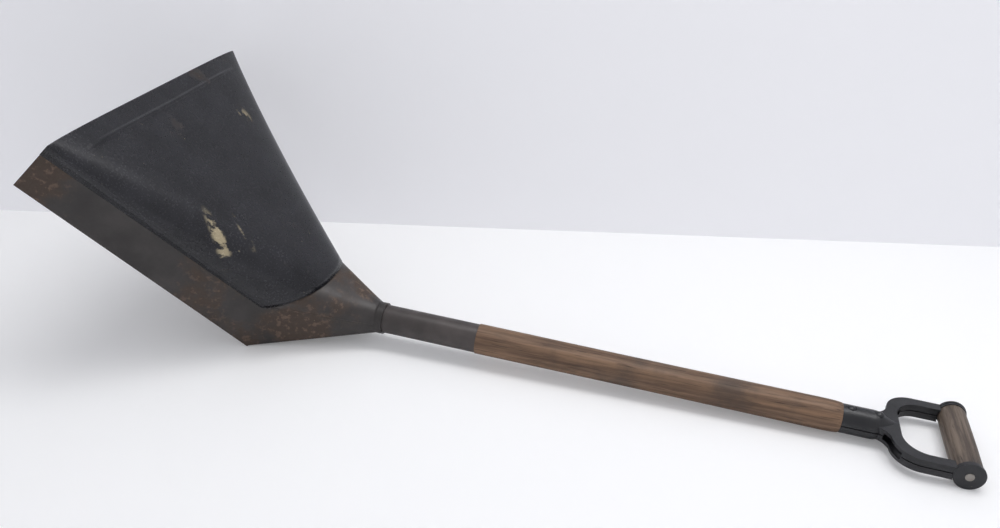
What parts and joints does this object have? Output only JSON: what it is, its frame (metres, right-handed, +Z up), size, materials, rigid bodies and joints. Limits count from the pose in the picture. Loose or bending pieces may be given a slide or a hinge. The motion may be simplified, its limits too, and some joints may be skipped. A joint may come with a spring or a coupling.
{
  "type": "grain shovel",
  "caption": "Hooded sheet-steel grain scoop on a tube socket and a turned wooden shaft, with a riveted D-handle and a turned wooden grip that spins on its rod.",
  "frame": {"origin": "under the middle of the shovel's length, on the floor that it rests on", "axes": "+X from the scoop towards the grip, +Y across, +Z up"},
  "size_m": [0.9746, 0.374, 0.2772],
  "materials": {
    "hood_steel": "worn gloss",
    "pan_steel": "worn, rusty",
    "tube_steel": "satin",
    "shaft_wood": "weathered",
    "yoke_iron": "worn satin",
    "rod_iron": "worn",
    "grip_wood": "worn"
  },
  "bodies": {
    "frame": {"scoop_pan": "pan_steel", "hood": "hood_steel", "neck_pan": "pan_steel", "neck_cap": "pan_steel", "collar": "pan_steel", "socket_tube": "tube_steel", "socket_nail": "rod_iron", "shaft": "shaft_wood", "yoke_top": "yoke_iron", "yoke_bottom": "yoke_iron", "yoke_rivets": "yoke_iron", "grip_rod": "rod_iron", "grip_disc_near": "yoke_iron", "grip_disc_far": "yoke_iron"},
    "grip": {"grip": "grip_wood"}
  },
  "joints": [
    {"name": "grip_spin", "type": "hinge", "parent": "frame", "child": "grip", "pos_m": [0.47127, 0, 0.016], "axis": [0, 1, 0], "continuous": true}
  ]
}
